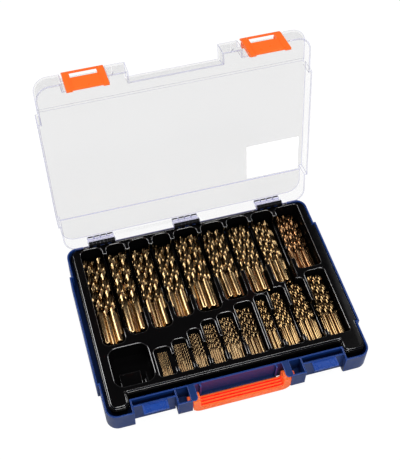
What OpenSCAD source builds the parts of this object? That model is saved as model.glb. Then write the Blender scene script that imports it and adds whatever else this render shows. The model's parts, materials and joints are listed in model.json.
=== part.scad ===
// Drill bit case: a blue base with a moulded tray, a clear lid on three hinges,
// two latches, a bail handle and nineteen sizes of twist drill.
// Millimetres. X is the width, the front looks to -Y, +Z is up, and the origin is the
// centre of the underside. The lid is drawn shut and then opened by lid_open.

/* [Case] */
// Width of the case over its narrow ends
case_w = 331; // [322:1:345]
// Depth of the case from front face to rear face
case_d = 251; // [251:1:262]
// Height of the base, from underside to rim
base_h = 33.5; // [32.5:0.5:38]
// Thickness of the base's moulded walls and floor
wall = 2; // [1.6:0.1:2.4]
// Radius of the case's four corners seen from above
corner_r = 14; // [10:1:18]
// Bevel round the underside of the base
foot_bevel = 3; // [1.5:0.5:4]
// Half the width over which the rear wall is low and the tray covers it
low_half = 142; // [140:1:146]
// How far each side swells out between the narrow ends
bulge_out = 3; // [1.5:0.5:5]
// Distance from the front face to where the sides start to swell
bulge_front = 48; // [40:1:60]
// Length of the swollen part of the sides
bulge_len = 160.5; // [140:0.5:170]

/* [Front] */
// Distance from the centre to the latch bays
bay_in = 80.5; // [78:0.5:84]
// Width of each latch bay
bay_w = 52.1; // [50:0.1:54]
// Depth of the latch bays in the base
bay_deep = 8.5; // [7:0.5:9.5]
// Clear depth of the open-topped pocket behind each latch bay
pocket_deep = 7; // [5:0.5:8]
// Distance from the centre to the inner blocks that carry the handle
block_in = 62.1; // [60:0.1:64]
// How far the inner blocks stand in front of the corner blocks
block_out = 3; // [1:0.5:4]
// Height of the underside of the inner blocks
block_z = 7; // [4:0.5:10]
// Width of each catch
catch_w = 31; // [24:1:36]
// How far each catch stands in front of the corner blocks
catch_out = 3; // [1.5:0.5:3.5]
// Thickness of each catch
catch_t = 3; // [2:0.5:4]
// Depth of the catch's top below the rim
catch_drop = 1.2; // [0.8:0.2:2]
// Width of each tongue over the handle's arms
tongue_w = 9; // [7:0.5:10]
// Thickness of the tongues
tongue_t = 2.2; // [1.6:0.2:2.4]

/* [Handle] */
// Thickness of the handle from front to back
handle_t = 14; // [11:0.5:14]
// Width of each arm of the handle
arm_w = 9; // [8:0.5:11]
// Height of the grip bar
grip_h = 10; // [8:0.5:12]
// Height of the handle's lower edge when it hangs
grip_z = 2; // [1:0.5:4]
// Radius of the handle's pivot stubs
stub_r = 4; // [3:0.25:4.5]
// Length of each pivot stub beyond the arm
stub_len = 5.5; // [4:0.5:8]
// Number of lengthwise grooves in the grip
groove_n = 3; // [2:1:4]
// Depth of the grooves
groove_deep = 6.5; // [4:0.5:7]

/* [Lid] */
// Angle of the lid in the drawn pose, 0 when shut
lid_open = 102; // [0:1:102]
// Height of the lid over its edge bands
lid_h = 22.2; // [20:0.2:25]
// Rise of the middle of the lid above the edge bands
plateau = 1.3; // [0.5:0.1:2]
// Distance from the front face to the raised middle of the lid
plateau_front = 42.5; // [36:0.5:46]
// Depth of the raised middle
plateau_len = 172.5; // [165:0.5:180]
// Thickness of the clear lid
lid_wall = 2; // [1.6:0.1:2.4]
// Gap between lid and base when shut
lid_gap = 0.3; // [0.3:0.05:0.6]
// Half the width of the recess over the handle
recess_half = 56; // [50:1:58]
// Depth of that recess at the top of the lid
recess_top = 20.4; // [18:0.2:23]
// Depth of that recess at the lid's rim
recess_rim = 14; // [12:0.5:17]

/* [Hinges] */
// Distance of the outer hinges from the centre
hinge_x = 116; // [105:1:122]
// Length of each hinge
hinge_len = 35; // [28:1:42]
// Outer radius of the hinge knuckles
knuckle_r = 2.8; // [2.5:0.1:3]
// Radius of the hinge pins
pin_r = 1.25; // [1:0.05:1.5]
// Height of the hinge axis above the base's rim
axis_up = 4; // [3.8:0.1:5]
// Distance of the hinge axis in front of the rear face
axis_in = 1.5; // [1.5:0.1:2]
// Thickness of the hinge leaf on the back of the lid
leaf_t = 1.8; // [1.4:0.1:2]
// Height of the hinge leaf
leaf_h = 11.5; // [10:0.5:14.5]
// Thickness of the hinge foot on the back of the base
foot_t = 1.2; // [0.8:0.1:1.5]
// Height of the hinge foot
foot_h = 9; // [6:0.5:14]

/* [Latches] */
// Width of each latch
latch_w = 48.8; // [46:0.1:49.4]
// Thickness of the latch plate
latch_t = 2.7; // [2.2:0.1:3]
// Length of the latch below its bar
latch_low = 37.5; // [30:0.5:40]
// Length of the latch above its bar
latch_high = 5.5; // [5:0.25:6]
// Radius of the lid's latch bars
bar_r = 2.2; // [1.8:0.1:2.4]
// Distance of the latch bar below the top of the lid
bar_drop = 9.5; // [9:0.5:11]
// Width of the window in the latch
window_w = 32; // [24:1:34]
// Height of the window in the latch
window_h = 13.5; // [8:0.5:15]

/* [Tray] */
// Depth of the tray's top face below the rim
tray_drop = 2; // [1:0.5:3]
// Thickness of the formed tray sheet
tray_t = 1.2; // [0.8:0.1:1.4]
// Gap between the tray's top edge and the side walls
tray_side = 6; // [5:0.5:7]
// Distance from the front face to the tray's front edge
tray_front = 31.5; // [29:0.5:33]
// Distance from the front face to the front of the tray's corner lobes
lobe_front = 13.5; // [8:0.5:20]
// Width of each corner lobe
lobe_w = 20; // [14:1:21]
// Width of the ribs between the slots of the rear row
rear_rib = 5.85; // [5.4:0.05:6.2]
// Width of the ribs between the slots of the front row
front_rib = 4; // [3.6:0.1:4.3]
// Distance from the front face to the front row of slots
front_row = 39; // [36:0.5:40]
// Height of the floor of the rear slots
rear_floor = 4.6; // [4.2:0.1:6]
// Headroom above the drills in the front slots
headroom = 4.5; // [3.5:0.5:11]
// Height of the lowered ribs in the rear row
saddle_z = 16; // [12:1:22]
// Depth of the finger dips in the front row's ribs
dip = 11; // [6:1:14]

/* [Drills] */
// Smallest drill diameter
first_d = 1; // [1:0.5:1.5]
// Step from one drill diameter to the next
step_d = 0.5; // [0.45:0.01:0.5]
// Helix angle of the flutes
helix = 30; // [25:1:35]
// Length of the flutes as a share of the drill's length
flute_share = 0.62; // [0.5:0.01:0.7]
// Gap between drills that lie together
lie_gap = 0.06; // [0.04:0.02:0.2]

/* [Label] */
// Width of the blank label inside the lid
label_w = 71.5; // [50:0.5:75]
// Height of the blank label
label_h = 52; // [35:0.5:60]
// Thickness of the label
label_t = 0.3; // [0.2:0.05:0.5]
// Distance of the label from the lid's side
label_side = 3.5; // [3:0.5:8]
// Distance of the label from the rear edge of the lid's raised middle
label_back = 4; // [3:0.5:14]

/* [Hidden] */
$fn = 48;
e = 0.01;             // overlap of shapes that are fused
fit = 0.05;           // radial clearance of pins and stubs
low = 0.4;            // drop of the rear edge where the lid swings over it
run = 0.3;            // clearance between parts that pass each other
y0 = -case_d / 2;     // front face
y1 = case_d / 2;      // rear face
far = case_w;         // longer than any cut needs to be

// Drills, rear row from the left and then front row from the left
rear_n = 9;
front_n = 10;
function size_d(i) = first_d + step_d * i;
function row_d(i) = i < rear_n ? size_d(rear_n + front_n - 1 - i) : size_d(i - rear_n);
drill_len = [133, 125, 125, 117, 117, 109, 109, 101, 93,
             34, 40, 49, 57, 61, 70, 75, 80, 86, 93];
drill_n = [5, 5, 5, 5, 10, 10, 10, 10, 10, 10, 10, 10, 10, 10, 10, 10, 10, 10, 10];
// Most drills side by side in each slot
columns = [2, 2, 2, 2, 3, 3, 3, 4, 4, 7, 7, 6, 6, 6, 5, 3, 4, 4, 4];

// Slots of the tray. The widths are shares of their row, which fills the tray's width.
slot_w = [28.5, 24.7, 26, 24, 31.5, 30.5, 29, 29, 31.5,
          20.8, 18.3, 15.8, 18.3, 21, 23.7, 16.5, 21.6, 25, 27.4];
slot_spare = [15.5, 15.5, 15.5, 15.5, 15.5, 15.5, 15.5, 15.5, 9.5,
              5.5, 5.5, 5.5, 5.5, 5.5, 5.5, 5.5, 5.5, 5.5, 5.5];
rear_r = 8;           // corner radius of the rear slots
front_r = 3;          // front corner radius of the front slots
arch_r = 6;           // rear corner radius of the front slots
last_r = 5;           // corner radius of the last rear slot, which has less to spare
tray_top = base_h - tray_drop;
tray_x = case_w / 2 - wall - tray_side;
tray_back = y1 - wall - 0.4;
slot_back = tray_back - 2.6;
strip_y = tray_back - 1.4;   // front of the tray's raised rear edge
lobe_in = 40;         // how far the corner lobes run into the tray
rear_ends = [10, 3.5];      // sheet beside the rear row, left and right
front_ends = [11.5, 4.1];   // sheet beside the front row and its compartment
bin_w = 50;           // width of the empty square compartment
bin_gap = 5;          // between the compartment and the front row
bin_y = [37.8, 91.6];
bin_r = 12;
bin_floor = 4.6;

// Where the rear row's ribs are lowered, measured from the front face
saddle_from = [116.9, 140, 140.5, 142.5, 160.2, 161, 161.3, 161.9];
saddle_to = slot_back - 12.5;
// Where the front row's ribs dip, with none between the sixth and seventh slots
dip_from = [48.2, 49.3, 52.3, 54.8, 58.8, 0, 49.4, 49.6, 49];
dip_to = [66.3, 68.6, 72, 74.7, 76.9, 0, 94, 94.3, 94.2];

function sum_to(list, from, n) = n <= 0 ? 0 : list[from + n - 1] + sum_to(list, from, n - 1);
rear_share = (2 * tray_x - rear_ends[0] - rear_ends[1] - (rear_n - 1) * rear_rib)
    / sum_to(slot_w, 0, rear_n);
front_share = (2 * tray_x - front_ends[0] - front_ends[1] - bin_gap - (front_n - 1) * front_rib)
    / (bin_w + sum_to(slot_w, rear_n, front_n));
rear_x = -tray_x + rear_ends[0];
bin_x = [-tray_x + front_ends[0], -tray_x + front_ends[0] + bin_w * front_share];
front_x = bin_x[1] + bin_gap;
function wide(i) = slot_w[i] * (i < rear_n ? rear_share : front_share);
function slot_x(i) = i < rear_n
    ? rear_x + sum_to(slot_w, 0, i) * rear_share + i * rear_rib
    : front_x + sum_to(slot_w, rear_n, i - rear_n) * front_share + (i - rear_n) * front_rib;
function slot_len(i) = drill_len[i] + slot_spare[i];
function slot_y(i) = i < rear_n ? slot_back - slot_len(i) : y0 + front_row;
function slot_r(i) = i < rear_n - 1 ? rear_r : i < rear_n ? last_r : front_r;
// The drills start clear of the rounded ends of their slots
function start(i) = slot_r(i) * (i < rear_n ? 0.8 : 0.4);

// A bundle lies in rows of k and k - 1 drills, each row in the gaps of the one below
function lie_d(i) = row_d(i) + lie_gap;
function room(i) = wide(i) - (i < rear_n ? 0.6 : 1.6) - lie_d(i);
function abreast(i) = min(columns[i], 1 + floor(room(i) / lie_d(i)));
function pitch(i) = min(room(i) / (abreast(i) - 1), lie_d(i) * 1.75);
function rise(i) = max(sqrt(max(pow(lie_d(i), 2) - pow(pitch(i) / 2, 2), 0)), lie_d(i) / 2);
function row_of(i, j) = let (k = abreast(i), pair = 2 * k - 1, r = j % pair)
    2 * floor(j / pair) + (r < k ? 0 : 1);
function col_of(i, j) = let (k = abreast(i), r = j % (2 * k - 1))
    r < k ? r : r - k + 0.5;
// Each drill lies a little further back than its neighbours or less so
function stagger(i, j) = slot_spare[i] * ((j * 3 + i) % 5) / 40;
function pile_h(i) = row_d(i) + rise(i) * row_of(i, drill_n[i] - 1);
function slot_floor(i) = i < rear_n
    ? rear_floor : max(rear_floor, tray_top - headroom - pile_h(i));

// A dip goes no lower than the floors on its two sides
function dip_z(k) = max(tray_top - dip, slot_floor(rear_n + k), slot_floor(rear_n + k + 1));

// Front of the base
bay_out = bay_in + bay_w;
bay_mid = bay_in + bay_w / 2;
main_front = y0 + bay_deep + wall + pocket_deep + wall;  // inner face of the front wall
catch_top = base_h - catch_drop;
catch_low = catch_top - catch_t;

// Handle
pivot_y = y0 - block_out + handle_t / 2;
pivot_z = base_h - tongue_t - run - handle_t / 2;
handle_half = block_in - 0.6;

// Hinges
axis_y = y1 - axis_in;
axis_z = base_h + axis_up;
hinge_at = [-hinge_x, 0, hinge_x];
knuckle_w = hinge_len / 7;

// Lid
rim_z = base_h + lid_gap;
lid_top = rim_z + lid_h;
lid_bay = bay_deep + 1;
bar_y = y0 + bar_r;
bar_z = lid_top - bar_drop;

// Latch plate, seen from the side
plate_in = y0 - catch_out - run;
plate_out = plate_in - latch_t;
latch_bottom = bar_z - latch_low;
latch_top = bar_z + latch_high;

module rounded(x0, x1, ya, yb, r) {
    for (x = [x0 + r, x1 - r], y = [ya + r, yb - r]) translate([x, y]) circle(r);
    translate([x0 + r, ya]) square([x1 - x0 - 2 * r, yb - ya]);
    translate([x0, ya + r]) square([x1 - x0, yb - ya - 2 * r]);
}

// A slot with corner radius ra at its front and rb at its rear
module slot_shape(x0, x1, ya, yb, ra, rb) {
    for (x = [x0 + ra, x1 - ra]) translate([x, ya + ra]) circle(ra);
    for (x = [x0 + rb, x1 - rb]) translate([x, yb - rb]) circle(rb);
    translate([x0 + ra, ya]) square([x1 - x0 - 2 * ra, ra + 1]);
    translate([x0, ya + ra]) square([x1 - x0, yb - ya - ra - rb]);
    translate([x0 + rb, yb - rb - 1]) square([x1 - x0 - 2 * rb, rb + 1]);
}

module slab(x0, x1, ya, yb, z0, z1) {
    translate([x0, ya, z0]) cube([x1 - x0, yb - ya, z1 - z0]);
}

// The same shape on the right and, mirrored, on the left
module both_sides() {
    children();
    mirror([1, 0, 0]) children();
}

module across(x0, x1, y, z, r) {
    translate([x0, y, z]) rotate([0, 90, 0]) cylinder(r = r, h = x1 - x0);
}

// Plan of the case, drawn in by t
module plan(t, r) {
    rounded(-case_w / 2 + t, case_w / 2 - t, y0 + t, y1 - t, r - t);
}

module swell(t) {
    half = case_w / 2 + bulge_out - t;
    translate([-half, y0 + bulge_front + t]) square([2 * half, bulge_len - 2 * t]);
}

// ---------------------------------------------------------------- base

module base_body() {
    translate([0, 0, foot_bevel - e]) linear_extrude(base_h - foot_bevel + e) {
        plan(0, corner_r);
        swell(0);
    }
    hull() {
        linear_extrude(e) plan(foot_bevel, corner_r, $fn = 32);
        translate([0, 0, foot_bevel - e]) linear_extrude(e) plan(0, corner_r, $fn = 32);
    }
    hull() {
        linear_extrude(e) swell(foot_bevel);
        translate([0, 0, foot_bevel - e]) linear_extrude(e) swell(0);
    }
}

module base_cavity() {
    translate([0, 0, wall]) linear_extrude(base_h) {
        rounded(-case_w / 2 + wall, case_w / 2 - wall, main_front, y1 - wall, corner_r - wall);
        translate([-case_w / 2 + wall, main_front])
            square([case_w - 2 * wall, corner_r]);
        swell(wall);
        // the corner blocks are hollow too
        both_sides() {
            rounded(bay_out + wall, case_w / 2 - wall, y0 + wall, main_front + corner_r,
                corner_r - wall);
            translate([bay_out + wall, y0 + wall])
                square([corner_r, main_front - y0 + corner_r - wall]);
        }
    }
}

module front_cuts() {
    // latch bay, full height
    slab(bay_in, bay_out, y0 - far, y0 + bay_deep, -1, base_h + 1);
    // pocket behind it
    slab(bay_in, bay_out, y0 + bay_deep + wall, main_front - wall, 3 * wall, base_h + 1);
    // recess for the handle
    slab(-e, block_in, y0 - far, main_front - wall, -1, base_h + 1);
    // under the inner block
    slab(block_in - e, bay_in + e, y0 - far, main_front - wall, -1, block_z);
    // pocket in the inner block
    slab(block_in + wall, bay_in - wall, y0 - block_out + wall, main_front - wall,
        block_z + wall, base_h + 1);
}

module catch_plate() {
    difference() {
        slab(bay_mid - catch_w / 2, bay_mid + catch_w / 2,
            y0 - catch_out, y0 + bay_deep + e, catch_low, catch_top);
        slab(bay_mid - catch_w / 2 + 2, bay_mid + catch_w / 2 - 2,
            y0 - catch_out + 1.6, y0 + bay_deep - 1, catch_top - 1, catch_top + 1);
    }
    for (x = [-0.27, 0.27] * catch_w)
        translate([bay_mid + x, y0 + (bay_deep - catch_out) / 2, catch_low])
            cylinder(r = 2.2, h = catch_t - 0.3);
}

module tongue() {
    r = tongue_w / 2;
    x1 = block_in + wall;
    translate([0, 0, base_h - tongue_t]) linear_extrude(tongue_t) {
        translate([x1 - tongue_w, y0 - block_out + r])
            square([tongue_w, main_front - y0 + block_out - r - wall + e]);
        translate([x1 - r, y0 - block_out + r]) circle(r);
    }
}

module recess_ribs() {
    slab(-e, block_in - tongue_w - 4, main_front - wall - 3, main_front - wall + e, 4, 6);
    slab(block_in - tongue_w - 6, block_in - tongue_w - 4,
        main_front - wall - 4, main_front - wall + e, 4, base_h - 1);
}

module knuckle(x, n) {
    x0 = x - hinge_len / 2 + n * knuckle_w + run / 2;
    across(x0, x0 + knuckle_w - run, axis_y, axis_z, knuckle_r);
}

module base_shell() {
    color([0.12, 0.25, 0.60]) difference() {
        union() {
            difference() {
                union() {
                    base_body();
                    both_sides() slab(block_in, bay_in, y0 - block_out, y0 + corner_r, block_z, base_h);
                }
                base_cavity();
                both_sides() front_cuts();
                // the rear wall is low where the tray's edge covers it, and lower at the hinges
                slab(-low_half, low_half, y1 - wall - 1, y1 + 1, base_h - low - tray_t - 0.1, base_h + 1);
                for (x = hinge_at) slab(x - hinge_len / 2 - run, x + hinge_len / 2 + run,
                    y1 - wall - 1, y1 + 1, base_h - 3, base_h + 1);
            }
            both_sides() {
                catch_plate();
                tongue();
                recess_ribs();
            }
        }
        both_sides() across(block_in - 1, block_in + wall + 1, pivot_y, pivot_z, stub_r + fit);
    }
}

// ---------------------------------------------------------------- tray

module tray_plan(t) {
    x = tray_x - t;
    rounded(-x, x, y0 + tray_front + t, tray_back - t, 8 - t);
    both_sides() rounded(x - lobe_w + 2 * t, x, y0 + lobe_front + t, y0 + tray_front + lobe_in,
        7 - t);
}

module slot_plan(i, t) {
    slot_shape(slot_x(i) - t, slot_x(i) + wide(i) + t,
        slot_y(i) - t, slot_y(i) + slot_len(i) + t, slot_r(i) + t,
        (i < rear_n ? slot_r(i) : arch_r) + t);
}

module bin_plan(t) {
    rounded(bin_x[0] - t, bin_x[1] + t, y0 + bin_y[0] - t, y0 + bin_y[1] + t, bin_r + t);
}

// The rib to the right of slot i, as a box from one slot into the next
module rib_box(i, ya, yb, z0, z1) {
    slab(slot_x(i) + wide(i) - e, slot_x(i + 1) + e, ya, yb, z0, z1);
}

module tray_insert() {
    dips = [for (k = [0 : front_n - 2]) if (dip_to[k] > 0) k];
    color([0.05, 0.05, 0.05]) difference() {
        union() {
            // skirt, foot and top sheet
            translate([0, 0, wall + 0.1]) linear_extrude(tray_top - wall - 0.1) difference() {
                tray_plan(0);
                tray_plan(tray_t);
            }
            translate([0, 0, wall + 0.1]) linear_extrude(tray_t) difference() {
                union() {
                    tray_plan(0);
                    translate([-tray_x, y0 + lobe_front + 10]) square([2 * tray_x, lobe_in]);
                }
                tray_plan(tray_t);
            }
            translate([0, 0, tray_top - tray_t]) linear_extrude(tray_t) tray_plan(0);
            for (i = [0 : rear_n + front_n - 1])
                translate([0, 0, slot_floor(i) - tray_t])
                    linear_extrude(tray_top - slot_floor(i) + e) slot_plan(i, tray_t);
            translate([0, 0, bin_floor - tray_t])
                linear_extrude(tray_top - bin_floor + e) bin_plan(tray_t);
        }
        for (i = [0 : rear_n + front_n - 1])
            translate([0, 0, slot_floor(i)]) linear_extrude(tray_top) slot_plan(i, 0);
        translate([0, 0, bin_floor]) linear_extrude(tray_top) bin_plan(0);
        for (i = [0 : rear_n - 2])
            rib_box(i, y0 + saddle_from[i], saddle_to, saddle_z, tray_top + 1);
        for (k = dips)
            rib_box(rear_n + k, y0 + dip_from[k], y0 + dip_to[k], dip_z(k), tray_top + 1);
    }
    color([0.05, 0.05, 0.05]) {
        // edge that steps up over the low rear wall, with room for the hinges
        difference() {
            union() {
                slab(-low_half + 0.5, low_half - 0.5, strip_y, y1 - 0.2, base_h - low - tray_t, base_h - low);
                slab(-low_half + 0.5, low_half - 0.5, strip_y, strip_y + tray_t,
                    tray_top - tray_t + e, base_h - low);
            }
            for (x = hinge_at) slab(x - hinge_len / 2 - run, x + hinge_len / 2 + run,
                axis_y - knuckle_r - run, y1 + 1, base_h - low - tray_t - 1, base_h + 1);
        }
        for (i = [0 : rear_n - 2])
            rib_box(i, y0 + saddle_from[i] - tray_t, saddle_to + tray_t, saddle_z - tray_t, saddle_z);
        for (k = dips)
            rib_box(rear_n + k, y0 + dip_from[k] - tray_t, y0 + dip_to[k] + tray_t,
                dip_z(k) - tray_t, dip_z(k));
        // low steps on the floor of the square compartment
        slab(bin_x[0] + 11, bin_x[0] + 34, y0 + bin_y[0] - e, y0 + bin_y[0] + 12,
            bin_floor - e, bin_floor + 6);
        slab(bin_x[0] + 38, bin_x[1] - 2, y0 + bin_y[0] + 4, y0 + bin_y[0] + 16,
            bin_floor - e, bin_floor + 6);
    }
}

// ---------------------------------------------------------------- handle

// The inside of the bail seen from the front, grown by t
module bail_inside(t) {
    x = handle_half - arm_w + t;
    rounded(-x, x, grip_z + grip_h - t, pivot_z + far, 4 + t);
}

module bail_front() {
    intersection() {
        difference() {
            rounded(-handle_half, handle_half, grip_z, pivot_z + far, 10);
            bail_inside(0);
        }
        translate([-handle_half - 1, 0]) square([2 * handle_half + 2, pivot_z]);
    }
}

module groove_front() {
    intersection() {
        difference() {
            bail_inside(groove_deep);
            bail_inside(-1);
        }
        translate([-handle_half, 0]) square([2 * handle_half, pivot_z - stub_r - 3]);
    }
}

module carry_handle() {
    front = pivot_y - handle_t / 2;
    fin = handle_t / (2 * groove_n + 1);
    color([1, 0.36, 0.12]) {
        difference() {
            translate([0, front + handle_t, 0]) rotate([90, 0, 0]) linear_extrude(handle_t)
                bail_front();
            for (k = [0 : groove_n - 1])
                translate([0, front + fin * (2 * k + 2), 0]) rotate([90, 0, 0])
                    linear_extrude(fin) groove_front();
        }
        both_sides() {
            across(handle_half - arm_w, handle_half, pivot_y, pivot_z, handle_t / 2);
            across(handle_half - 1, handle_half + stub_len, pivot_y, pivot_z, stub_r);
        }
    }
}

// ---------------------------------------------------------------- lid, drawn shut

module lid_pose() {
    translate([0, axis_y, axis_z]) rotate([-lid_open, 0, 0]) translate([0, -axis_y, -axis_z])
        children();
}

module lid_plan(t) {
    plan(t, corner_r + 4);
    swell(t);
}

// The lid's outside, drawn in by t, with t = 0 for the outer face
module lid_form(t) {
    low = t > 0 ? rim_z - 1 : rim_z;
    difference() {
        union() {
            translate([0, 0, low]) linear_extrude(lid_top - t - low) lid_plan(t);
            translate([0, 0, low]) linear_extrude(lid_top + plateau - t - low) intersection() {
                lid_plan(t);
                translate([-far, y0 + plateau_front + t]) square([2 * far, plateau_len - 2 * t]);
            }
        }
        both_sides() slab(bay_in - t, bay_out + t, y0 - 1, y0 + lid_bay + t, rim_z - 2, lid_top + 9);
        // recess over the handle, with a leaning back wall
        rotate([90, 0, 90]) translate([0, 0, -recess_half - t])
            linear_extrude(2 * (recess_half + t)) polygon([
                [y0 - 1, rim_z - 2], [y0 + recess_rim + t - 0.5, rim_z - 2],
                [y0 + recess_rim + t, rim_z], [y0 + recess_top + t, lid_top + plateau + 1],
                [y0 - 1, lid_top + plateau + 1]]);
    }
}

// Small web in the corner between the lid's front and its top
module gusset(x) {
    inner = lid_top - lid_wall;
    translate([x, 0, 0]) rotate([90, 0, 90]) linear_extrude(1.2) polygon([
        [y0 + lid_wall - e, inner + e], [y0 + 14, inner + e], [y0 + lid_wall - e, inner - 12]]);
}

module lid_shell() {
    color([0.88, 0.90, 0.94, 0.45]) lid_pose() {
        difference() {
            lid_form(0);
            lid_form(lid_wall);
            // the rear wall makes room for each hinge, with four slots for its leaf's tabs
            for (x = hinge_at) {
                slab(x - hinge_len / 2 - run, x + hinge_len / 2 + run, y1 - lid_wall - 1, y1 + 1,
                    rim_z - 1, axis_z + knuckle_r + 2.7);
                for (n = [0 : 3]) tab(x, n, run);
            }
        }
        both_sides() {
            across(bay_in - lid_wall, bay_out + lid_wall, bar_y, bar_z, bar_r);
            gusset(bay_in - 9);
        }
    }
}

module lid_label() {
    x1 = case_w / 2 - label_side;
    edge = y0 + plateau_front + plateau_len - label_back;
    inner = lid_top + plateau - lid_wall;
    color([0.96, 0.96, 0.97]) lid_pose()
        slab(x1 - label_w, x1, edge - label_h, edge, inner - label_t, inner);
}

// ---------------------------------------------------------------- hinges

leaf_z0 = axis_z + knuckle_r + 0.7;

// Tab n of the leaf, or with a gap its slot in the lid
module tab(x, n, gap) {
    w = hinge_len / 4;
    slab(x - hinge_len / 2 + n * w + 1 - gap, x - hinge_len / 2 + (n + 1) * w - 1 + gap,
        y1 - lid_wall - (gap > 0 ? 1 : 0), y1 + e + (gap > 0 ? 1 : 0),
        leaf_z0 + leaf_h - 4.5 - gap, leaf_z0 + leaf_h - 1 + gap);
}

module hinge_leaf(x) {
    color([0.62, 0.62, 0.70]) lid_pose() difference() {
        union() {
            slab(x - hinge_len / 2, x + hinge_len / 2, y1, y1 + leaf_t, leaf_z0, leaf_z0 + leaf_h);
            for (n = [0 : 3]) tab(x, n, 0);
            for (n = [1, 3, 5]) {
                knuckle(x, n);
                x0 = x - hinge_len / 2 + n * knuckle_w + run / 2;
                slab(x0, x0 + knuckle_w - run, y1 - 1, y1 + leaf_t, axis_z, leaf_z0 + e);
            }
        }
        across(x - hinge_len, x + hinge_len, axis_y, axis_z, pin_r + fit);
    }
}

// The base's half of a hinge: a plate on the rear wall and four knuckles
module hinge_foot(x) {
    color([0.05, 0.05, 0.06]) difference() {
        union() {
            slab(x - hinge_len / 2, x + hinge_len / 2, y1, y1 + foot_t, base_h - 1 - foot_h, base_h - 1);
            for (n = [0, 2, 4, 6]) {
                knuckle(x, n);
                x0 = x - hinge_len / 2 + n * knuckle_w + run / 2;
                slab(x0, x0 + knuckle_w - run, y1 - wall, y1 + foot_t, base_h - 2.9, base_h - 1);
                slab(x0, x0 + knuckle_w - run, y1 - wall, y1, base_h - 2.9, axis_z - pin_r);
            }
        }
        across(x - hinge_len, x + hinge_len, axis_y, axis_z, pin_r + fit);
    }
}

module hinge_pin(x) {
    color([0.75, 0.76, 0.78]) across(x - hinge_len / 2, x + hinge_len / 2, axis_y, axis_z, pin_r);
}

// ---------------------------------------------------------------- latches

module latch(x) {
    half = latch_w / 2;
    lug = (latch_w - window_w) / 2 - 2;
    color([1, 0.42, 0.12]) lid_pose() difference() {
        union() {
            // plate with its top edge rolled in over the bar
            translate([x - half, 0, 0]) rotate([90, 0, 90]) linear_extrude(latch_w) polygon([
                [plate_in, latch_bottom + 2], [plate_out + 0.8, latch_bottom + 2],
                [plate_out, latch_bottom + 3.5], [plate_out, bar_z - 1.5],
                [plate_out + 1, latch_top - 2], [plate_out + 2.8, latch_top],
                [plate_in + 1, latch_top], [plate_in + 1, latch_top - 2.5], [plate_in, bar_z]]);
            for (s = [-1, 1]) {
                // feet, side edges and ribs
                slab(x + s * (half - 3.5) - 3.5, x + s * (half - 3.5) + 3.5, plate_out, plate_in,
                    latch_bottom, latch_bottom + 4);
                slab(x + s * (half - 0.7) - 0.7, x + s * (half - 0.7) + 0.7, plate_in - 1, plate_in + 2.6,
                    latch_bottom + 5, bar_z - bar_r - 3);
                slab(x + s * (half - 7) - 0.7, x + s * (half - 7) + 0.7, plate_out - 0.7, plate_in,
                    latch_bottom + 2, bar_z - 12);
                // the two lugs that turn on the lid's bar
                across(x + s * (half - 1 - lug / 2) - lug / 2, x + s * (half - 1 - lug / 2) + lug / 2,
                    bar_y, bar_z, bar_r + 1.7);
                slab(x + s * (half - 1 - lug / 2) - lug / 2, x + s * (half - 1 - lug / 2) + lug / 2,
                    plate_in - e, bar_y, bar_z - bar_r - 1.7, bar_z + 2);
            }
            // hook that closes under the catch
            slab(x - catch_w / 2 + 2, x + catch_w / 2 - 2, plate_in - e, plate_in + 2.3,
                catch_low - 2, catch_low - 0.45);
        }
        across(x - latch_w, x + latch_w, bar_y, bar_z, bar_r + fit);
        slab(x - window_w / 2, x + window_w / 2, plate_out - 2, plate_in + 2,
            latch_top - 4 - window_h, latch_top - 4);
    }
}

// ---------------------------------------------------------------- drills

// Section of a two-flute drill: two lands with a gullet between each pair
module flute_section(d) {
    r = d / 2 - e;
    polygon([for (side = [0, 180]) for (p = [[1, -28], [1, 28], [0.42, 62], [0.42, 112]])
        r * p[0] * [cos(side + p[1]), sin(side + p[1])]]);
}

// One twist drill lying along Y, from its shank end at y = 0 to its point at y = len.
// Those that lie out of sight are left plain.
module drill(d, len, fluted) {
    point = d * 0.3;
    flute = len * flute_share - point;
    lead = PI * d / tan(helix);
    turns = flute / lead;
    rotate([-90, 0, 0]) {
        cylinder(d = d, h = fluted ? len - point - flute : len - point);
        if (fluted) translate([0, 0, len - point - flute - e]) {
            linear_extrude(flute + e, twist = -360 * turns, slices = ceil(turns * 5), $fn = 8)
                flute_section(d);
            translate([0, 0, flute]) rotate(360 * turns)
                linear_extrude(point, scale = 0.1, $fn = 8) flute_section(d);
        } else translate([0, 0, len - point - e]) cylinder(d1 = d, d2 = d * 0.05, h = point);
    }
}

module drill_set(i) {
    left = slot_x(i) + wide(i) / 2 - pitch(i) * (abreast(i) - 1) / 2;
    seen = row_of(i, drill_n[i] - 1) - (row_d(i) < 6 ? 0 : 1);
    color([0.78, 0.60, 0.36])
        for (j = [0 : drill_n[i] - 1])
            translate([left + pitch(i) * col_of(i, j), slot_y(i) + start(i) + stagger(i, j),
                slot_floor(i) + lie_gap + row_d(i) / 2 + rise(i) * row_of(i, j)])
                drill(row_d(i), drill_len[i], row_of(i, j) >= seen);
}

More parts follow.
